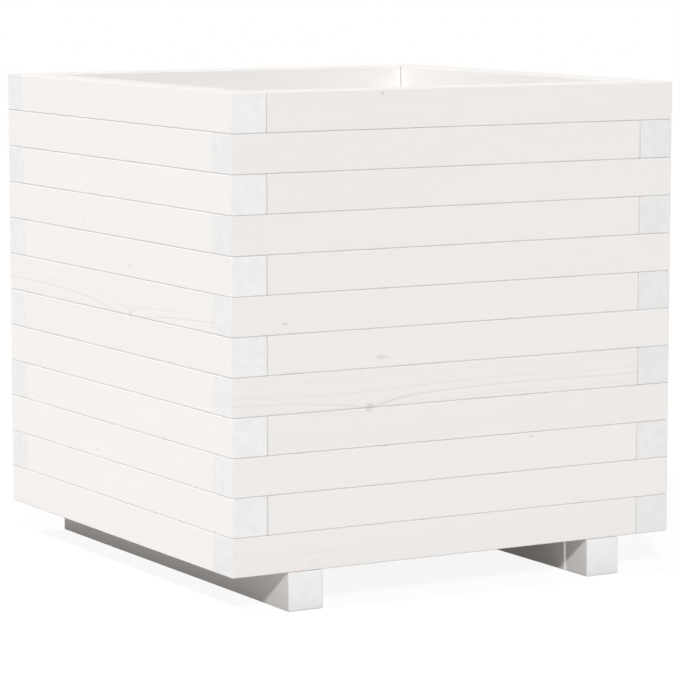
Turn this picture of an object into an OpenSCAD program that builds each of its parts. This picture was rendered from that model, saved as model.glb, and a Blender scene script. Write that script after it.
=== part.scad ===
// Square garden planter. Planed softwood bars are stacked in courses, and at each corner
// one bar passes and its neighbour butts against it, the other way round in the next course.
// The box stands on two runners and has a slatted floor. Screws driven upwards from course
// to course hold the stack, so no screw shows on the outside or on the rim.
// The origin is on the ground under the middle of the planter, and the front faces -Y.

/* [Planter] */
// Outside width, across the front
planter_w = 500; // [340:1:800]
// Outside depth, from front to back
planter_d = 500; // [340:1:800]
// Number of courses of bars
courses = 12; // [4:1:12]

/* [Bars] */
// Thickness of a bar, across the wall
bar_t = 38; // [35:0.5:60]
// Height of a bar, which is the height of a course
bar_h = 38; // [34:0.5:60]
// Width of the eased edges of a bar
bar_edge = 0.8; // [0.3:0.1:3]
// Gap left where a bar butts against its neighbour
butt_gap = 0.4; // [0.1:0.1:1.5]

/* [Runners] */
// Width of a runner
runner_w = 38; // [30:0.5:60]
// Height of a runner
runner_h = 38; // [30:0.5:80]
// Distance from the side of the box to the side of a runner
runner_inset = 60; // [40:1:95]
// Width of the eased edges of a runner
runner_edge = 0.8; // [0.3:0.1:3]

/* [Floor] */
// Number of floor boards
floor_boards = 3; // [2:1:4]
// Thickness of a floor board
floor_t = 18; // [12:0.5:28]
// Drain gap beside each floor board
floor_gap = 4.8; // [2:0.2:12]
// Gap between the end of a floor board and the wall
floor_end_gap = 2; // [0.5:0.5:6]
// Width of the eased edges of a floor board
floor_edge = 1; // [0.3:0.1:3]

/* [Course screws] */
// Diameter of the screws that join the courses
course_screw_d = 4; // [3:0.5:5]
// Depth at which their heads lie in the underside of a bar
course_screw_recess = 5; // [2:0.5:9]
// Length of screw in the bar above
course_screw_bite = 27; // [18:1:30]
// Distance from the end of a bar that passes the corner to its screw
pass_screw_inset = 12; // [9:0.5:13]
// Distance from the end of a bar that butts to its screw
butt_screw_inset = 19; // [12:1:60]

/* [Floor screws] */
// Diameter of the screws that hold the floor boards
floor_screw_d = 4; // [3:0.5:5]
// Length of screw in the runner
floor_screw_bite = 22; // [12:1:26]
// Depth of their heads below the face of a floor board
floor_screw_sink = 0.4; // [0.2:0.1:2]
// Distance from the edge of a floor board to its screws
floor_screw_edge = 25; // [9:0.5:30]

/* [Runner screws] */
// Diameter of the screws that hold the runners to the walls
runner_screw_d = 5; // [4:0.5:6]
// Depth at which their heads lie in the underside of a runner
runner_screw_recess = 12; // [4:0.5:18]
// Distance from the inside face of the wall, clear of the course screws on its middle line
runner_screw_inset = 11; // [9:0.5:12]
// Length of screw in the bar above the runner
runner_screw_bite = 30; // [20:1:32]

/* [Fits] */
// Radial clearance round a screw in the piece that it passes through
screw_clearance = 0.25; // [0.1:0.05:0.6]
// Radial clearance round a screw in the piece that it bites in
pilot_clearance = 0.02; // [0.01:0.01:0.05]
// Radial room round a screw head in its recess
head_clearance = 0.5; // [0.1:0.1:1]
// Spare depth under the point of a screw
point_clearance = 1; // [0.5:0.5:2]

/* [Hidden] */
$fn = 48;
WALLS = ["front", "right", "back", "left"];
SIDES = ["left", "right"];
OVERCUT = 1; // a cutter runs this far past the face that it opens

function numbered(name, n) = str(name, n < 10 ? "_0" : "_", n);

BAR_NODES = [for (course = [1 : courses]) for (wall = WALLS) numbered(str(wall, "_bar"), course)];
FLOOR_NODES = [for (n = [1 : floor_boards]) numbered("floor_board", n)];
RUNNER_NODES = [for (side = SIDES) str(side, "_runner")];

inner_w = planter_w - 2 * bar_t;
inner_d = planter_d - 2 * bar_t;

floor_board_l = inner_w - 2 * floor_end_gap;
floor_board_w = (inner_d - (floor_boards + 1) * floor_gap) / floor_boards;
floor_top = runner_h + floor_t;

course_screw_l = bar_h - course_screw_recess + course_screw_bite;
floor_screw_l = floor_t - floor_screw_sink + floor_screw_bite;
runner_screw_l = runner_h - runner_screw_recess + runner_screw_bite;

// A runner's middle line, and the line of its screws under the front and back walls
runner_x = planter_w / 2 - runner_inset - runner_w / 2;
runner_screw_y = inner_d / 2 + runner_screw_inset;

wood_face = [0.93, 0.915, 0.9];
zinc = [0.76, 0.77, 0.76];

// Height of the underside of a course
function course_z(course) = runner_h + (course - 1) * bar_h;

// The top course passes each corner anticlockwise, seen from above, and the next one clockwise
function turns_left(course) = (courses - course) % 2 == 0;

// A wall's own frame starts at the outer corner where the wall begins, runs along the wall
// in +X and has the inside of the box towards +Y. The walls follow each other anticlockwise.
function wall_l(wall) = wall % 2 == 0 ? planter_w : planter_d;
function wall_start(wall) = [
    (wall == 0 || wall == 3 ? -1 : 1) * planter_w / 2,
    (wall < 2 ? -1 : 1) * planter_d / 2
];

module on_wall(wall, z) {
    translate(concat(wall_start(wall), z)) rotate(90 * wall) children();
}

// Turns a place measured from a wall's passing corner into a place in the wall's frame
function from_passing(wall, course, along) = turns_left(course) ? wall_l(wall) - along : along;

// Where a bar's own two screws stand, as [along the wall, across it]
function own_screws(wall, course) = [
    [from_passing(wall, course, pass_screw_inset), bar_t / 2],
    [from_passing(wall, course, wall_l(wall) - bar_t - butt_gap - butt_screw_inset), bar_t / 2]
];

// Where the screws of the course below enter a bar: its own wall's butting end lies below
// the bar's passing end, and so does the end of the neighbour that passes the corner there.
function entering_screws(wall, course) = [
    [from_passing(wall, course, bar_t / 2), pass_screw_inset],
    [from_passing(wall, course, bar_t + butt_gap + butt_screw_inset), bar_t / 2]
];

// Proportions of a countersunk wood screw's head: its radius, its height and its flat rim
function head_r(d) = d;
function head_h(d) = 0.62 * d;
function head_rim(d) = 0.12 * d;

module countersunk_screw(d, length) {
    point = 1.4 * d;
    socket_r = 0.42 * d;
    socket_depth = 0.45 * d;
    difference() {
        rotate_extrude() polygon([
            [0, 0],
            [head_r(d), 0],
            [head_r(d), head_rim(d)],
            [d / 2, head_h(d)],
            [d / 2, length - point],
            [0, length]
        ]);
        translate([0, 0, -OVERCUT]) cylinder(r = socket_r, h = socket_depth + OVERCUT, $fn = 6);
    }
}

// A hole for a screw driven towards +Z through a piece that is reach thick past the recess
module screw_hole(d, recess, reach) {
    seat_r = head_r(d) + pilot_clearance;
    cone_h = head_h(d) - head_rim(d);
    translate([0, 0, -OVERCUT]) cylinder(r = head_r(d) + head_clearance, h = recess + OVERCUT);
    translate([0, 0, recess]) {
        cylinder(r = d / 2 + screw_clearance, h = reach + OVERCUT);
        cylinder(r = seat_r, h = head_rim(d));
        translate([0, 0, head_rim(d)]) cylinder(r1 = seat_r, r2 = d / 2 + pilot_clearance, h = cone_h);
    }
}

// A blind hole for the last stretch of a screw, open at z = 0
module pilot_hole(d, bite) {
    translate([0, 0, -OVERCUT]) cylinder(r = d / 2 + pilot_clearance, h = bite + point_clearance + OVERCUT);
}

module eased_rectangle(w, h, edge) {
    polygon([
        [edge, 0], [w - edge, 0],
        [w, edge], [w, h - edge],
        [w - edge, h], [edge, h],
        [0, h - edge], [0, edge]
    ]);
}

// A planed length of timber along +X, w wide in +Y and h high in +Z, with all its edges eased
module planed_timber(length, w, h, edge) {
    intersection() {
        rotate([90, 0, 90]) linear_extrude(length) eased_rectangle(w, h, edge);
        linear_extrude(h) eased_rectangle(length, w, edge);
        translate([0, w, 0]) rotate([90, 0, 0]) linear_extrude(w) eased_rectangle(length, h, edge);
    }
}

// One bar of a wall, wall 0 being the front
module wall_bar(wall, course) {
    bar_l = wall_l(wall) - bar_t - butt_gap;
    bar_start = turns_left(course) ? bar_t + butt_gap : 0;
    is_top = course == courses;
    is_bottom = course == 1;
    color(wood_face) difference() {
        on_wall(wall, course_z(course)) difference() {
            translate([bar_start, 0, 0]) planed_timber(bar_l, bar_t, bar_h, bar_edge);
            if (!is_top)
                for (place = own_screws(wall, course))
                    translate(place) screw_hole(course_screw_d, course_screw_recess, bar_h);
            if (!is_bottom)
                for (place = entering_screws(wall, course))
                    translate(place) pilot_hole(course_screw_d, course_screw_bite);
        }
        if (is_bottom && wall % 2 == 0)
            for (side = [-1, 1])
                translate([side * runner_x, (wall == 0 ? -1 : 1) * runner_screw_y, runner_h])
                    pilot_hole(runner_screw_d, runner_screw_bite);
    }
}

// Where the screws of floor board n stand along Y, counted from the front
function floor_board_y(n) = -inner_d / 2 + n * floor_gap + (n - 1) * floor_board_w;
function floor_screw_ys(n) = [
    floor_board_y(n) + floor_screw_edge,
    floor_board_y(n) + floor_board_w - floor_screw_edge
];

// A runner lies under the front and back walls, flush with both, and carries the floor boards
module runner(side) {
    color(wood_face) difference() {
        translate([side * runner_x + runner_w / 2, -planter_d / 2, 0])
            rotate(90) planed_timber(planter_d, runner_w, runner_h, runner_edge);
        for (end = [-1, 1])
            translate([side * runner_x, end * runner_screw_y, 0])
                screw_hole(runner_screw_d, runner_screw_recess, runner_h);
        for (n = [1 : floor_boards])
            for (y = floor_screw_ys(n))
                translate([side * runner_x, y, runner_h])
                    mirror([0, 0, 1]) pilot_hole(floor_screw_d, floor_screw_bite);
    }
}

// A floor board lies across both runners, inside the walls
module floor_board(n) {
    color(wood_face) difference() {
        translate([-floor_board_l / 2, floor_board_y(n), runner_h])
            planed_timber(floor_board_l, floor_board_w, floor_t, floor_edge);
        for (side = [-1, 1])
            for (y = floor_screw_ys(n))
                translate([side * runner_x, y, floor_top])
                    mirror([0, 0, 1]) screw_hole(floor_screw_d, floor_screw_sink, floor_t);
    }
}

// Every screw that joins a course to the one above it
module course_screws() {
    color(zinc)
        for (course = [1 : courses - 1])
            for (wall = [0 : 3])
                on_wall(wall, course_z(course) + course_screw_recess)
                    for (place = own_screws(wall, course))
                        translate(place) countersunk_screw(course_screw_d, course_screw_l);
}

module floor_screws() {
    color(zinc)
        for (n = [1 : floor_boards])
            for (side = [-1, 1])
                for (y = floor_screw_ys(n))
                    translate([side * runner_x, y, floor_top - floor_screw_sink])
                        mirror([0, 0, 1]) countersunk_screw(floor_screw_d, floor_screw_l);
}

module runner_screws() {
    color(zinc)
        for (side = [-1, 1])
            for (end = [-1, 1])
                translate([side * runner_x, end * runner_screw_y, runner_screw_recess])
                    countersunk_screw(runner_screw_d, runner_screw_l);
}

for (course = [1 : courses])
    for (wall = [0 : 3])
        wall_bar(wall, course);
runner(-1);  // left_runner
runner(1);  // right_runner
for (n = [1 : floor_boards])
    floor_board(n);
course_screws();
floor_screws();
runner_screws();
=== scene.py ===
import math
import random

import bmesh
import bpy
from mathutils import Matrix, Vector


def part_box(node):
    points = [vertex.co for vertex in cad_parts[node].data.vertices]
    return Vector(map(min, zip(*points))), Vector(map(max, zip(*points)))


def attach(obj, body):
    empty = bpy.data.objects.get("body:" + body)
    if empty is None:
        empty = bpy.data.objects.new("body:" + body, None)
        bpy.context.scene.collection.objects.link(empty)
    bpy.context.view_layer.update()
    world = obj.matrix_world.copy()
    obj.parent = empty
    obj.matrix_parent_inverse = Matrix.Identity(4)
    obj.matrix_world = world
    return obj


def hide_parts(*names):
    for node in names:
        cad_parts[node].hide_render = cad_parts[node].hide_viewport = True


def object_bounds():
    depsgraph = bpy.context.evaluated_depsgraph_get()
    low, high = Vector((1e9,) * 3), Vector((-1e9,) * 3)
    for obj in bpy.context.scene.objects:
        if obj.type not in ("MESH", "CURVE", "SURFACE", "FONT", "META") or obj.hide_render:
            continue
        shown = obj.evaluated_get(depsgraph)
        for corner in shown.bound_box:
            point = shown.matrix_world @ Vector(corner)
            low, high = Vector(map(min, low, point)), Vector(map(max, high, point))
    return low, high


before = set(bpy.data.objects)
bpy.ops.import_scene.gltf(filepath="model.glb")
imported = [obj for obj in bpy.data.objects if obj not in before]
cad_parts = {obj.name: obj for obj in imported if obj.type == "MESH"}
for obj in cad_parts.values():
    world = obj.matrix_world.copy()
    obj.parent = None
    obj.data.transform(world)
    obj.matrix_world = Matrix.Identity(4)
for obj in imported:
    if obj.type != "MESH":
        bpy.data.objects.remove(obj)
cad_low, cad_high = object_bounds()


# Camera
# The planter is seen from its front left corner, from a little above the rim, through a long lens
# that keeps the courses almost parallel.

camera_place = (-1.6498, -2.8778, 0.6359)
camera_turn = -29.988
camera_dip = 7.115
camera_lens = 170.49

camera = bpy.data.objects.new("camera", bpy.data.cameras.new("camera"))
bpy.context.scene.collection.objects.link(camera)
camera.location = camera_place
camera.rotation_euler = (math.radians(90 - camera_dip), 0, math.radians(camera_turn))
camera.data.lens = camera_lens
bpy.context.scene.camera = camera


# Studio
# A pale floor, a white surround, a broad lamp from the front left and a sharper one from the left.
# The floor and the surround are white to the camera and mid grey to the light that they throw back. The
# floor also glows faintly in that thrown light, less near the box and hardly at all under it, which is a
# painted shadow in its glow.

bpy.context.scene.view_settings.view_transform = "Standard"

front_lamp_from = Vector((-0.245, -0.44, 0.34))
front_lamp_spread = 5.5
left_lamp_from = Vector((-0.265, 0.02, 0.365))
left_lamp_spread = 0.5
surround_light = 0.42
zenith_fall = 0.5
floor_size = 12
floor_bounce = 0.32
floor_under_glow = 0.06
floor_near_glow = 0.28
floor_far_glow = 0.33
floor_far = 0.9
under_glow_fade = 1.2
floor_glow = 0.9
floor_shade = 0.13
white_light = (1, 1, 1, 1)


class Wire:
    """An output socket of a node, on which maths can be written as a Python expression."""

    def __init__(self, board, socket):
        self.board = board
        self.socket = socket

    def maths(self, operation, *others):
        return self.board.maths(operation, self, *others)

    def __add__(self, other):
        return self.maths("ADD", other)

    def __radd__(self, other):
        return self.maths("ADD", other)

    def __sub__(self, other):
        return self.maths("SUBTRACT", other)

    def __rsub__(self, other):
        return self.board.maths("SUBTRACT", other, self)

    def __neg__(self):
        return self.maths("MULTIPLY", -1)

    def __mul__(self, other):
        return self.maths("MULTIPLY", other)

    def __rmul__(self, other):
        return self.maths("MULTIPLY", other)

    def __truediv__(self, other):
        return self.maths("DIVIDE", other)

    def __pow__(self, other):
        return self.maths("POWER", other)

    def __abs__(self):
        return self.maths("ABSOLUTE")

    def least(self, other):
        return self.maths("MINIMUM", other)

    def most(self, other):
        return self.maths("MAXIMUM", other)

    def clamped(self):
        return self.most(0).least(1)

    def rise(self, low, high):
        """0 below low, 1 above high and a smooth step between them."""
        values = {"Value": self, "From Min": low, "From Max": high}
        return self.board.add("ShaderNodeMapRange", {"interpolation_type": "SMOOTHSTEP"}, values)

    def parts(self):
        """The X, Y and Z of a vector."""
        first = self.board.add("ShaderNodeSeparateXYZ", {}, {0: self})
        return [Wire(self.board, output) for output in first.socket.node.outputs]

    def scaled(self, factors):
        """A vector times another one, part by part."""
        return self.board.vector_maths("MULTIPLY", self, factors)

    def times(self, amount):
        """A vector or a colour times a number."""
        values = {0: self, "Scale": amount}
        return self.board.add("ShaderNodeVectorMath", {"operation": "SCALE"}, values)


class Board:
    """A node tree. add() lays one node of any type on it, with its settings, values and wires."""

    def __init__(self, tree):
        self.tree = tree

    def add(self, kind, settings, values, out=0):
        node = self.tree.nodes.new(kind)
        for name, value in settings.items():
            setattr(node, name, value)
        for name, value in values.items():
            if isinstance(value, Wire):
                self.tree.links.new(value.socket, node.inputs[name])
            else:
                node.inputs[name].default_value = value
        return Wire(self, node.outputs[out]) if node.outputs else None

    def maths(self, operation, *values):
        return self.add("ShaderNodeMath", {"operation": operation}, dict(enumerate(values)))

    def vector_maths(self, operation, *values):
        return self.add("ShaderNodeVectorMath", {"operation": operation}, dict(enumerate(values)))

    def vector(self, x, y, z):
        return self.add("ShaderNodeCombineXYZ", {}, {0: x, 1: y, 2: z})

    def noise(self, vector, detail, out="Fac"):
        return self.add("ShaderNodeTexNoise", {}, {"Vector": vector, "Scale": 1, "Detail": detail}, out)

    def blend(self, factor, first, second):
        """Goes from the first colour, a Mix node's input 6, to the second one, its input 7."""
        return self.add("ShaderNodeMix", {"data_type": "RGBA"}, {0: factor, 6: first, 7: second}, 2)

    def seen(self):
        """1 for what the camera sees, straight or in a gloss or a glass, and 0 for thrown light."""
        camera_ray = self.add("ShaderNodeLightPath", {}, {}, "Is Camera Ray")
        outputs = camera_ray.socket.node.outputs
        glossy_ray = Wire(self, outputs["Is Glossy Ray"])
        transmission_ray = Wire(self, outputs["Is Transmission Ray"])
        return camera_ray.most(glossy_ray).most(transmission_ray)


def bare_board(owner):
    """The board of a new material or world, with nothing on it."""
    owner.use_nodes = True
    owner.node_tree.nodes.clear()
    return Board(owner.node_tree)


def lamp(name, comes_from, spread):
    """A far lamp. The length of comes_from is the light that it adds to a face turned to it."""
    light = bpy.data.lights.new(name, "SUN")
    light.energy = comes_from.length * math.pi
    light.angle = math.radians(spread)
    holder = bpy.data.objects.new(name, light)
    holder.rotation_euler = comes_from.to_track_quat("Z", "Y").to_euler()
    bpy.context.scene.collection.objects.link(holder)


lamp("front_lamp", front_lamp_from, front_lamp_spread)
lamp("left_lamp", left_lamp_from, left_lamp_spread)

surround = bpy.data.worlds.new("surround")
board = bare_board(surround)
direction = board.add("ShaderNodeTexCoord", {}, {}, "Generated").parts()
light_level = (1 - direction[2].most(0) * zenith_fall) * surround_light
seen_level = board.seen() * (1 - light_level) + light_level
background = board.add("ShaderNodeBackground", {}, {"Color": white_light, "Strength": seen_level})
board.add("ShaderNodeOutputWorld", {}, {"Surface": background})
bpy.context.scene.world = surround

floor_paint = bpy.data.materials.new("studio_floor")
board = bare_board(floor_paint)
place = board.add("ShaderNodeTexCoord", {}, {}, "Object").parts()
away = abs(place[0]).most(abs(place[1]))
# Painted shadow: the floor's glow is dimmed near the box and under it, standing in for the box's shade
# on the floor
outside = away.rise(cad_high.x, cad_high.x * under_glow_fade)
thrown_glow = floor_near_glow + (floor_far_glow - floor_near_glow) * away.rise(cad_high.x, floor_far)
thrown_glow = floor_under_glow + (thrown_glow - floor_under_glow) * outside
sides_of_floor = []
for shade, strength in ((floor_bounce, thrown_glow), (floor_shade, floor_glow)):
    matt = board.add("ShaderNodeBsdfDiffuse", {}, {"Color": (shade, shade, shade, 1)})
    glow = board.add("ShaderNodeEmission", {}, {"Color": white_light, "Strength": strength})
    sides_of_floor.append(board.add("ShaderNodeAddShader", {}, {0: matt, 1: glow}))
thrown, looked_at = sides_of_floor
floor_surface = board.add("ShaderNodeMixShader", {}, {0: board.seen(), 1: thrown, 2: looked_at})
board.add("ShaderNodeOutputMaterial", {}, {"Surface": floor_surface})

bpy.ops.mesh.primitive_plane_add(size=floor_size)
floor = bpy.context.object
floor.name = "studio_floor"
floor.data.materials.append(floor_paint)


# Runners
# Two square bars of planed pine on which the box stands, from front to back. Like every timber here
# they are planed, eased along their edges, cut square, and stained white so thinly that the grain shows.
# Each is screwed up into the front and back walls through a recess in its underside.

runner_ease = 0.0010
runner_slack = 0.0002
runner_heart = (0.03, 0.08)
runner_tones = {"left_runner": 0.94, "right_runner": 0.98}
runner_end_tone = 0.965
runner_figure = 0.5

# How every timber is planed and cut
edge_wear = 0.5
wear_pace = 7
edges_apart = 3
logs_apart = 50
log_shift = 40
least_slack = 0.4
slack_swing = 1.2
# Painted shade: the eased edges and the butt joints are drawn darker in the colour, the upper edges less
# and the lower ones, which face down, more, so that the seams between bars read dark
upper_edge_painted_shade = 0.5
lower_edge_painted_shade = 1.1
end_ease = 0.0008
long_cells = 46
cross_cells = 6
ease_cells = 2

# How the rings and the knots show through the stain
ring_width = 0.0032
ring_drift = 0.012
ring_ripple = 0.0012
ring_change = 120
ring_uneven = 1.6
late_sharpness = 4
late_end = 0.86
strong_rarity = 6
faintest_ring = 0.1
ring_shown = (0.05, 0.5)
bend_length = 7
bend_width = 0.84
knot_crumple = 1.6
knot_fill = (0.6, 1.2)
knot_heart = (0.1, 0.6)
knot_rim = (0.5, 0.9)
fill_tint = 0.4
heart_tint = 0.6
rim_tint = 0.5
fibre_tint = 0.08
patch_tint = 0.02
band_change = 230
band_patch = 3
blotch_share = 0.8
band_share = 0.5
speckle_share = 0.1
late_share = 0.05
end_shown = (0.45, 1.05)
drift_pace = (2.5, 0, 0)
ripple_pace = (9, 60, 60)
crumple_pace = (240, 320, 320)
patch_pace = (5, 35, 35)
fibre_pace = (14, 900, 900)
blotch_pace = (60, 90, 90)
speckle_pace = (300, 900, 900)
side_rough = 0.75
bare_rough = 0.1
stain_gloss = 0.2
relief_strength = 0.25
relief_depth = 0.0004
line_sunk = 0.3
knot_sunk = 0.3
fibre_raised = 0.5
tiny = 0.0001
no_knot = ((9, 0, 0.001), (1, 0, 0))

# The colours of the stained timber, with painted shade for its edges and painted light for its inner
# faces
side_white = (0.93, 0.895, 0.87, 1)
# Painted light: the inner faces of the walls get a lighter, more neutral white, so that the inside of
# the box reads as bright as the outside
painted_light_inner_white = (0.958, 0.934, 0.916, 1)
ring_tan = (0.72, 0.67, 0.63, 1)
# Painted shade: the colour that the eased edges, the seams and the joints are darkened towards
edge_shade_tan = (0.68, 0.65, 0.63, 1)
knot_brown = (0.46, 0.41, 0.37, 1)
end_white = (1, 1, 1, 1)
end_grey = (0.94, 0.94, 0.94, 1)

# The bores that the screws stand in
head_room = 0.0005
shank_room = 0.00025
overcut = 0.001
bore_sides = 24
bore_turn = 0.1
head_rim = 0.12
head_cone = 0.62
same_place = 1e-6
screw_nodes = ("course_screws", "floor_screws", "runner_screws")


def timber_stain():
    """A thin matt white stain on planed pine, worked out from where a point lies in its log.

    A pace says how fast a pattern changes along the grain, across it and up, for each metre.
    """
    stain = bpy.data.materials.new("white_stained_pine")
    board = bare_board(stain)

    def read(name):
        return board.add("ShaderNodeAttribute", {"attribute_name": name}, {}, "Vector")

    grain = read("grain")
    tone, end_tone, figure = read("look").parts()
    # The face attribute holds the end grain, the painted shade of the edges and the painted light of the
    # inner faces
    end, painted_edge_shade, painted_inner_light = read("face").parts()
    beside, over, radius = read("knot").parts()
    length, depth, pull = read("knot_form").parts()

    drift = board.noise(grain.scaled(drift_pace), 1, "Color").parts()
    ripple = board.noise(grain.scaled(ripple_pace), 2) - 0.5
    crumple = board.noise(grain.scaled(crumple_pace), 2) - 0.5
    along, across, up = grain.parts()
    across = across + (drift[0] - 0.5) * ring_drift
    up = up + (drift[1] - 0.5) * ring_drift
    ring = (across * across + up * up) ** 0.5 + ripple * ring_ripple
    stretched = ((beside / bend_length) ** 2 + over ** 2) ** 0.5
    ring = ring - pull * (-stretched / (pull * bend_width + tiny)).maths("EXPONENT")
    near = ((beside / length) ** 2 + over ** 2) ** 0.5 / radius + crumple * knot_crumple
    fill = 1 - near.rise(*knot_fill)
    heart = 1 - near.rise(*knot_heart)
    rim = near.rise(*knot_rim) * fill
    knot = ((fill * fill_tint + heart * heart_tint + rim * rim_tint) * depth).clamped()

    patch = board.noise(grain.scaled(patch_pace), 2)
    uneven = board.noise(board.vector(ring * ring_change, 0, 0), 1)
    count = ring / ring_width + uneven * ring_uneven
    number = count.maths("FLOOR")
    chance = board.add("ShaderNodeTexWhiteNoise", {"noise_dimensions": "1D"}, {"W": number})
    late = count.maths("FRACT")
    late = late ** late_sharpness * (1 - late.rise(late_end, 1))
    strong = chance ** strong_rarity
    line = late * (faintest_ring + strong) * patch.rise(*ring_shown)
    fibre = board.noise(grain.scaled(fibre_pace), 3) - 0.5
    grain_line = (line * figure + fibre * fibre_tint).clamped()

    # Painted light on the inner faces of the wall bars
    side = board.blend(grain_line, board.blend(painted_inner_light, side_white, painted_light_inner_white), ring_tan)
    side = board.blend(knot, side, knot_brown)
    side = side.times(1 + (patch - 0.5) * patch_tint)

    blotch = board.noise(grain.scaled(blotch_pace), 3)
    band = board.noise(board.vector(ring * band_change, patch * band_patch, 0), 2)
    speckle = board.noise(grain.scaled(speckle_pace), 2)
    bare = blotch * blotch_share + band * band_share + speckle * speckle_share + late * late_share
    ends = board.blend(bare.rise(*end_shown), end_white, end_grey)

    colour = board.blend(end, side, ends).times(tone * (1 - end) + end_tone * end)
    # Painted shade along the edges, seams and joints
    colour = board.blend(painted_edge_shade, colour, edge_shade_tan)
    rough = side_rough + line * bare_rough + end * bare_rough
    height = line * -line_sunk + fibre * fibre_raised + end * speckle - knot * knot_sunk
    values = {"Strength": relief_strength, "Distance": relief_depth, "Height": height}
    relief = board.add("ShaderNodeBump", {}, values)
    values = {
        "Base Color": colour, "Roughness": rough, "Normal": relief, "Specular IOR Level": stain_gloss,
    }
    surface = board.add("ShaderNodeBsdfPrincipled", {}, values)
    board.add("ShaderNodeOutputMaterial", {}, {"Surface": surface})
    return stain


def new_tree(name, kinds, result):
    """A tree with inputs of the given kinds: its board, its input wires and their identifiers."""
    group = bpy.data.node_groups.new(name, "GeometryNodeTree")
    names = {}
    for title, kind in kinds.items():
        socket = group.interface.new_socket(title, in_out="INPUT", socket_type="NodeSocket" + kind)
        names[title] = socket.identifier
    group.interface.new_socket(result, in_out="OUTPUT", socket_type="NodeSocketGeometry")
    board = Board(group)
    sockets = group.nodes.new("NodeGroupInput").outputs
    given = {title: Wire(board, sockets[title]) for title in kinds}
    return board, given, names


def worked(piece, tree, names, values):
    """The plain mesh that a tree makes of a piece with the given values."""
    modifier = piece.modifiers.new(tree.name, "NODES")
    modifier.node_group = tree
    for title, value in values.items():
        modifier[names[title]] = value
    made = bpy.data.meshes.new_from_object(piece.evaluated_get(bpy.context.evaluated_depsgraph_get()))
    piece.modifiers.remove(modifier)
    return made


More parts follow.
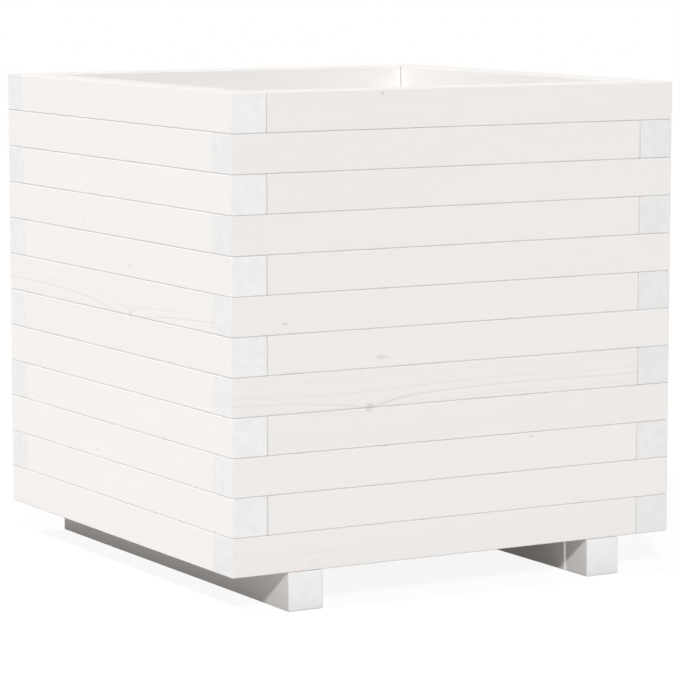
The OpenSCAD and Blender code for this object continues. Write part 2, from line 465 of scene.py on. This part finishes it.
def planed_timber():
    """The tree that planes one timber, and the identifier of each of its inputs.

    The timber's own frame has X along the grain, Y from the outer face inwards and Z across it. Its
    long edges are eased, and its ends are cut square with only the burr taken off.
    """
    kinds = {
        "Size": "Vector", "Ease": "Float", "Wear": "Float", "End Ease": "Float", "Slack": "Float",
        "Bores": "Object", "Pith": "Vector", "Knot": "Vector", "Knot Form": "Vector",
        "Look": "Vector", "Inner Painted Light": "Float", "Stain": "Material",
    }
    board, given, names = new_tree("planed_timber", kinds, "Timber")
    pith = given["Pith"]

    block = board.add("GeometryNodeMeshCube", {}, {
        "Size": (2, 2, 2), "Vertices X": long_cells + 1, "Vertices Y": cross_cells + 1,
        "Vertices Z": cross_cells + 1,
    })
    rough_place = board.add("GeometryNodeInputPosition", {}, {}).parts()
    extents = given["Size"].parts()
    sides = [place.maths("SIGN") for place in rough_place]
    wear_along = rough_place[0] * extents[0] * wear_pace
    edge_place = board.vector(wear_along, sides[1] * edges_apart, sides[2] * edges_apart)
    shifted = board.vector_maths("ADD", edge_place, pith.times(logs_apart))
    worn = given["Ease"] * (1 + given["Wear"] * board.noise(shifted, 2))

    end_zone = 2 / long_cells
    outermost = abs(rough_place[1]).most(abs(rough_place[2]))
    over_edge = ((abs(rough_place[0]) - (1 - end_zone)) / end_zone).clamped()
    onto_end = ((1 - outermost) * cross_cells / 2).clamped()
    roll = (over_edge + onto_end) * (math.pi / 4)
    flat = abs(rough_place[0]).least(1 - end_zone) / (1 - end_zone)
    reach = flat * (extents[0] / 2 - given["End Ease"]) + given["End Ease"] * roll.maths("SINE")
    place = [extents[0] / 2 + sides[0] * reach]
    drawn_in = given["End Ease"] * (1 - roll.maths("COSINE"))
    filled = (outermost / (1 - 2 / cross_cells)).least(1)

    zone = 2 * ease_cells / cross_cells
    flats = []
    turns = []
    for rough, side in zip(rough_place[1:], sides[1:]):
        outline_place = abs(rough) / outermost
        flats.append(side * outline_place.least(1 - zone) / (1 - zone))
        turn = ((outline_place - (1 - zone)) / zone).clamped() * (math.pi / 4)
        turns.append(side * turn.maths("TANGENT"))
    outwards = board.vector_maths("NORMALIZE", board.vector(0, *turns)).parts()
    for flat, extent, outward in zip(flats, extents[1:], outwards[1:]):
        section = flat * (extent / 2 - worn) + outward * worn
        place.append(extent / 2 + section * filled * (1 - drawn_in / (extent / 2)))
    slack = given["Slack"] * (least_slack + slack_swing * board.noise(shifted, 1))
    place[2] = place[2] * (1 - slack / extents[2])
    position = board.vector(*place)
    timber = board.add("GeometryNodeSetPosition", {}, {"Geometry": block, "Position": position})

    bores = board.add("GeometryNodeObjectInfo", {}, {"Object": given["Bores"]}, "Geometry")
    settings = {"operation": "DIFFERENCE", "solver": "MANIFOLD"}
    timber = board.add("GeometryNodeMeshBoolean", settings, {0: timber, 1: bores})

    spot = board.add("GeometryNodeInputPosition", {}, {})
    places = spot.parts()

    def into(axis, ease):
        return ((abs(places[axis] - extents[axis] / 2) - (extents[axis] / 2 - ease)) / ease).clamped()

    end = into(0, given["End Ease"])
    end_edge = end.least(into(1, given["End Ease"]).most(into(2, given["End Ease"])))
    long_edge = into(1, given["Ease"]).least(into(2, given["Ease"]))
    facing_in = (places[1] - extents[1] / 2).maths("SIGN").most(0)
    # Painted light: the inner face of a wall bar is drawn in the lighter inner white
    painted_inner_light = into(1, given["Ease"]) * facing_in * given["Inner Painted Light"]
    below = (extents[2] / 2 - places[2]).maths("SIGN").most(0)
    # Painted shade: how far the colour darkens on the eased edges, more on the lower ones
    painted_edge_shade = long_edge.most(end_edge) * (upper_edge_painted_shade + (lower_edge_painted_shade - upper_edge_painted_shade) * below)
    knot_along, knot_up, radius = given["Knot"].parts()
    facts = {
        "grain": board.vector_maths("SUBTRACT", spot, pith),
        "look": given["Look"],
        "face": board.vector(end, painted_edge_shade, painted_inner_light),
        "knot": board.vector(places[0] - knot_along, places[2] - knot_up, radius),
        "knot_form": given["Knot Form"],
    }
    settings = {"data_type": "FLOAT_VECTOR", "domain": "POINT"}
    for name, value in facts.items():
        values = {"Geometry": timber, "Name": name, "Value": value}
        timber = board.add("GeometryNodeStoreNamedAttribute", settings, values)
    timber = board.add("GeometryNodeRealizeInstances", {}, {"Geometry": timber})
    timber = board.add("GeometryNodeSetMaterial", {}, {"Geometry": timber, "Material": given["Stain"]})
    board.add("NodeGroupOutput", {}, {"Timber": timber})
    return board.tree, names


timber_tree, timber_inputs = planed_timber()
stain = timber_stain()


def screws_of(node):
    """Head's middle, radius, length and direction of each screw in a CAD node of separate screws."""
    shape = bmesh.new()
    shape.from_mesh(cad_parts[node].data)
    bmesh.ops.remove_doubles(shape, verts=shape.verts, dist=same_place)
    waiting = set(shape.verts)
    found = []
    while waiting:
        reached = [waiting.pop()]
        for vertex in reached:
            near = {link.other_vert(vertex) for link in vertex.link_edges} & waiting
            waiting -= near
            reached.extend(near)
        places = [vertex.co for vertex in reached]
        low = Vector([min(place[k] for place in places) for k in range(3)])
        high = Vector([max(place[k] for place in places) for k in range(3)])
        head_up = node == "floor_screws"
        head = Vector(((low.x + high.x) / 2, (low.y + high.y) / 2, high.z if head_up else low.z))
        found.append((head, (high.x - low.x) / 2, high.z - low.z, -1 if head_up else 1))
    shape.free()
    return sorted(found, key=lambda screw: tuple(screw[0]))


def turned(outline, sides, wobble=lambda angle, radius, height: radius):
    """A closed shape turned about Z from (radius, height) points. The first and last lie on Z."""
    shape = bmesh.new()
    rings = []
    for radius, height in outline[1:-1]:
        ring = []
        for step in range(sides):
            angle = math.tau * step / sides
            reach = wobble(angle, radius, height)
            ring.append(shape.verts.new((reach * math.cos(angle), reach * math.sin(angle), height)))
        rings.append(ring)
    first = shape.verts.new((0, 0, outline[0][1]))
    last = shape.verts.new((0, 0, outline[-1][1]))
    for step in range(sides):
        after = (step + 1) % sides
        shape.faces.new((first, rings[0][after], rings[0][step]))
        shape.faces.new((last, rings[-1][step], rings[-1][after]))
        for lower, upper in zip(rings, rings[1:]):
            shape.faces.new((lower[step], lower[after], upper[after], upper[step]))
    bmesh.ops.recalc_face_normals(shape, faces=shape.faces)
    return shape


all_screws = [screw for node in screw_nodes for screw in screws_of(node)]


def bores_for(name, low, high, to_own):
    """The cutter for the screws whose heads lie inside a timber's box, or None if there are none.

    Each bore is turned a little, so that none of its edges lies along the lines of the timber's mesh.
    """
    cutter = bmesh.new()
    for head, radius, _, direction in all_screws:
        if not all(low[k] < head[k] < high[k] for k in range(3)):
            continue
        entry = (head.z - low.z) if direction > 0 else (high.z - head.z)
        beyond = (high.z - low.z) - entry + overcut
        outline = [
            (0, -entry - overcut),
            (radius + head_room, -entry - overcut),
            (radius + head_room, 0),
            (radius + shank_room, radius * head_rim),
            (radius / 2 + shank_room, radius * head_cone),
            (radius / 2 + shank_room, beyond),
            (0, beyond),
        ]
        bore = turned(outline, bore_sides)
        flip = Matrix.Rotation(0 if direction > 0 else math.pi, 4, "X")
        turn = flip @ Matrix.Rotation(bore_turn, 4, "Z")
        bmesh.ops.transform(bore, matrix=to_own @ Matrix.Translation(head) @ turn, verts=bore.verts)
        part = bpy.data.meshes.new("bore")
        bore.to_mesh(part)
        bore.free()
        cutter.from_mesh(part)
        bpy.data.meshes.remove(part)
    if not cutter.verts:
        cutter.free()
        return None
    mesh = bpy.data.meshes.new(name)
    cutter.to_mesh(mesh)
    cutter.free()
    return bpy.data.objects.new(name, mesh)


def timber(node, along, inwards, ease, slack, pith, look, knot=no_knot, painted_inner_light=0.0):
    """Planes the timber that stands for a node, and puts it where the node is.

    A knot has a place (along, up, radius) and a form (length, depth, pull on the grain).
    """
    low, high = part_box(node)
    axes = Matrix((along, inwards, along.cross(inwards))).transposed()
    extents = axes.transposed() @ (high - low)
    size = Vector([abs(extent) for extent in extents])
    place = Matrix.Translation((low + high) / 2 - axes @ (size / 2)) @ axes.to_4x4()
    bores = bores_for(node + "_bores", low, high, place.inverted())

    piece = bpy.data.objects.new(node + "_timber", bpy.data.meshes.new(node + "_blank"))
    bpy.context.scene.collection.objects.link(piece)
    values = {
        "Size": size, "Ease": ease, "Wear": edge_wear, "End Ease": end_ease, "Slack": slack,
        "Bores": bores, "Pith": pith, "Knot": knot[0], "Knot Form": knot[1], "Look": look,
        "Inner Painted Light": painted_inner_light, "Stain": stain,
    }
    planed = worked(piece, timber_tree, timber_inputs, values)
    piece.data = planed
    planed.name = node + "_timber"
    planed.transform(place)
    if bores:
        bpy.data.objects.remove(bores)
    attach(piece, "root")
    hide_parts(node)


def log_place(chance, distances, angle=None, further=0.0):
    """Where the log's heart lies from a timber's corner: a shift along it, and a place beside it."""
    angle = chance.uniform(0, math.tau) if angle is None else angle
    distance = chance.uniform(*distances) + further
    shift = chance.uniform(-log_shift, log_shift)
    return (shift, distance * math.cos(angle), distance * math.sin(angle))


for node, side_tone in runner_tones.items():
    pith = log_place(random.Random(node), runner_heart)
    look = (side_tone, runner_end_tone, runner_figure)
    timber(node, Vector((0, -1, 0)), Vector((1, 0, 0)), runner_ease, runner_slack, pith, look)


# Wall bars
# Forty-eight square bars of planed pine, four to a course. Each passes one corner, so that its end
# shows there, and butts against its neighbour at the other one. The next course does so the other way.
# Knots are few and small. The stain hides most of the figure, but not on every bar.

bar_ease = 0.0008
bar_slack = 0.0001
bar_heart = (0.05, 0.11)
courses = 12
walls = ("front", "right", "back", "left")
side_tone_swing = 0.005
end_tones = {"front": 0.89, "right": 0.89, "back": 0.89, "left": 0.95}
end_tone_swing = 0.01
heart_above = math.radians(75)
knots_seen = {
    ("front", 12): ((0.163, 0.0336, 0.0018), (1.0, 0.40, 0.006)),
    ("front", 7): ((0.057, 0.0102, 0.0020), (1.3, 0.50, 0.006)),
    ("front", 6): ((0.162, 0.0102, 0.0026), (3.2, 0.25, 0.008)),
    ("front", 5): ((0.149, 0.0011, 0.0042), (1.1, 0.45, 0.013)),
    ("front", 4): ((0.149, 0.0391, 0.0042), (1.1, 0.45, 0.013)),
    ("front", 3): ((0.335, 0.0341, 0.0014), (1.2, 0.40, 0.005)),
    ("front", 1): ((0.088, 0.0070, 0.0040), (1.5, 0.12, 0.010)),
    ("left", 9): ((0.183, 0.0095, 0.0016), (1.2, 0.35, 0.006)),
    ("left", 8): ((0.288, 0.0110, 0.0030), (1.3, 0.20, 0.008)),
    ("left", 7): ((0.288, 0.0020, 0.0036), (1.3, 0.20, 0.014)),
    ("left", 6): ((0.288, 0.0400, 0.0036), (1.3, 0.20, 0.014)),
    ("left", 3): ((0.211, 0.0073, 0.0024), (1.2, 0.30, 0.007)),
}
figures_seen = {
    ("front", 5): 1.3, ("front", 4): 0.45, ("front", 6): 0.25, ("front", 1): 0.35,
    ("left", 8): 0.25, ("left", 7): 1.15, ("left", 6): 0.5, ("left", 2): 0.5,
}
plain_figures = (0.05, 0.2)
heart_moves = {("front", 5): 0.007, ("left", 7): -0.011}
unseen_walls = ("right", "back")
knotty_share = 0.35
bar_knots = {
    "radius": (0.0015, 0.0040), "along": (0.06, 0.40), "up": (0.006, 0.032),
    "length": (1.0, 2.0), "depth": (0.2, 0.5),
}
pull_of_radius = 3

for course in range(1, courses + 1):
    for number, wall in enumerate(walls):
        node = f"{wall}_bar_{course:02d}"
        chance = random.Random(node)
        turn = Matrix.Rotation(number * math.pi / 2, 3, "Z")
        along = turn @ Vector((1, 0, 0))
        inwards = turn @ Vector((0, 1, 0))
        low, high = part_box(node)
        ahead = [along[k] + inwards[k] > 0 for k in range(3)]
        corner = Vector([low[k] if ahead[k] else high[k] for k in range(3)])
        wall_start = Vector([cad_low[k] if ahead[k] else cad_high[k] for k in range(3)])
        start = (corner - wall_start).dot(along)
        place, form = knots_seen.get((wall, course), no_knot)
        knot = ((place[0] - start, *place[1:]), form)
        angle = None if form is no_knot[1] else heart_above
        tone = 1 + chance.uniform(-side_tone_swing, side_tone_swing)
        figure = figures_seen.get((wall, course), chance.uniform(*plain_figures))
        slack = bar_slack if course < courses else 0
        pith = log_place(chance, bar_heart, angle, heart_moves.get((wall, course), 0))
        end_tone = end_tones[wall] * (1 + chance.uniform(-end_tone_swing, end_tone_swing))
        look = (tone, end_tone, figure)
        if wall in unseen_walls and chance.random() < knotty_share:
            drawn = {part: chance.uniform(*limits) for part, limits in bar_knots.items()}
            place = (drawn["along"], drawn["up"], drawn["radius"])
            knot = (place, (drawn["length"], drawn["depth"], drawn["radius"] * pull_of_radius))
        # Wall bars carry the painted light on their inner faces
        timber(node, along, inwards, bar_ease, slack, pith, look, knot, painted_inner_light=1.0)


# Floor boards
# Three planed pine boards laid across the runners with a drainage gap between them, stained like the
# walls. Each is held down by four countersunk screws.

board_ease = 0.0010
board_slack = 0.0
board_heart = (0.05, 0.09)
board_heart_turn = math.radians(60)
board_look = (0.97, 0.87, 0.6)
board_knots = {"radius": (0.004, 0.008), "along": (0.08, 0.34), "up": (0.03, 0.1)}
board_knot_length = 1.2
board_knot_depth = 0.5

for number in (1, 2, 3):
    node = f"floor_board_{number:02d}"
    chance = random.Random(node)
    drawn = {part: chance.uniform(*limits) for part, limits in board_knots.items()}
    place = (drawn["along"], drawn["up"], drawn["radius"])
    knot = (place, (board_knot_length, board_knot_depth, drawn["radius"] * pull_of_radius))
    pith = log_place(chance, board_heart, board_heart_turn)
    timber(node, Vector((1, 0, 0)), Vector((0, 0, -1)), board_ease, board_slack, pith, board_look, knot)


# Screws
# Zinc-plated countersunk wood screws with a six-lobed socket. Each course is screwed up into the next,
# the floor boards down into the runners and the runners up into the walls, each in its own recess.

screw_sides = 12
thread_rings = 5
thread_root = 0.72
thread_pitch = 0.45
thread_steepness = 4
plain_shank = 0.45
shank_width = 0.9
tip_width = 0.6
tip_length = 0.4
socket_width = 0.42
socket_depth = 0.5
socket_lobes = 6
lobe_depth = 0.14
zinc_light = (0.78, 0.79, 0.78, 1)
zinc_dull = (0.60, 0.61, 0.60, 1)
bloom_pace = (500, 500, 500)
bloom_shown = (0.35, 0.7)
bloom_rough = 0.2
zinc_rough = 0.28
grit_pace = (4000, 4000, 4000)
grit_strength = 0.2
grit_depth = 0.0001


def zinc_plate():
    """Zinc plating: a bright grey metal with a dull bloom in patches."""
    zinc = bpy.data.materials.new("zinc_plate")
    board = bare_board(zinc)
    place = board.add("ShaderNodeTexCoord", {}, {}, "Object")
    bloom = board.noise(place.scaled(bloom_pace), 3)
    grit = board.noise(place.scaled(grit_pace), 2)
    colour = board.blend(bloom.rise(*bloom_shown), zinc_light, zinc_dull)
    rough = zinc_rough + bloom * bloom_rough
    values = {"Strength": grit_strength, "Distance": grit_depth, "Height": grit}
    relief = board.add("ShaderNodeBump", {}, values)
    values = {"Base Color": colour, "Metallic": 1.0, "Roughness": rough, "Normal": relief}
    surface = board.add("ShaderNodeBsdfPrincipled", {}, values)
    board.add("ShaderNodeOutputMaterial", {}, {"Surface": surface})
    return zinc


def wood_screw(radius, length):
    """A countersunk screw that points along +Z, with the face of its head at Z = 0."""
    crest = radius / 2
    root = crest * thread_root
    pitch = radius * thread_pitch
    thread_start = length * plain_shank
    thread_end = length - radius
    threaded_length = thread_end - thread_start
    socket = radius * socket_width
    socket_floor = radius * socket_depth
    shank = crest * shank_width
    steps = math.ceil(threaded_length / pitch * thread_rings)
    outline = [(0, socket_floor), (socket, socket_floor), (socket, 0), (radius, 0)]
    outline += [(radius, radius * head_rim), (shank, radius * head_cone), (shank, thread_start)]
    outline += [(crest, thread_start + threaded_length * step / steps) for step in range(1, steps + 1)]
    outline += [(root * tip_width, length - radius * tip_length), (0, length)]

    def threaded(angle, reach, height):
        if reach == socket:
            return reach * (1 - lobe_depth * math.cos(angle * socket_lobes))
        if not thread_start < height <= thread_end:
            return reach
        across = (height / pitch - angle / math.tau) % 1
        return root + (crest - root) * max(0, 1 - abs(across - 0.5) * thread_steepness)

    shape = turned(outline, screw_sides, threaded)
    mesh = bpy.data.meshes.new("wood_screw")
    shape.to_mesh(mesh)
    shape.free()
    return bpy.data.objects.new("wood_screw", mesh)


def driven_screws():
    """The tree that drives one screw into each seat, and the identifier of each of its inputs.

    Each screw is turned by chance. A Random Value node takes its highest number as input 3.
    """
    kinds = {
        "Seats": "Geometry", "Screw": "Object", "Tip Over": "Float", "Seed": "Int", "Zinc": "Material",
    }
    board, given, names = new_tree("driven_screws", kinds, "Screws")
    values = {3: math.tau, "Seed": given["Seed"]}
    spin = board.add("FunctionNodeRandomValue", {"data_type": "FLOAT"}, values, 1)
    turn = board.vector(given["Tip Over"], 0, spin)
    shape = board.add("GeometryNodeObjectInfo", {}, {"Object": given["Screw"]}, "Geometry")
    values = {"Points": given["Seats"], "Instance": shape, "Rotation": turn}
    driven = board.add("GeometryNodeInstanceOnPoints", {}, values)
    driven = board.add("GeometryNodeRealizeInstances", {}, {"Geometry": driven})
    driven = board.add("GeometryNodeSetMaterial", {}, {"Geometry": driven, "Material": given["Zinc"]})
    board.add("NodeGroupOutput", {}, {"Screws": driven})
    return board.tree, names


screw_tree, screw_inputs = driven_screws()
zinc = zinc_plate()

for seed, node in enumerate(screw_nodes):
    seats = screws_of(node)
    _, radius, length, direction = seats[0]
    screw = wood_screw(radius, length)
    seat_mesh = bpy.data.meshes.new(node + "_seats")
    seat_mesh.from_pydata([tuple(seat[0]) for seat in seats], [], [])
    piece = bpy.data.objects.new(node + "_zinc", seat_mesh)
    bpy.context.scene.collection.objects.link(piece)
    tip_over = 0.0 if direction > 0 else math.pi
    values = {"Screw": screw, "Tip Over": tip_over, "Seed": seed, "Zinc": zinc}
    piece.data = worked(piece, screw_tree, screw_inputs, values)
    bpy.data.objects.remove(screw)
    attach(piece, "root")
    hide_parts(node)
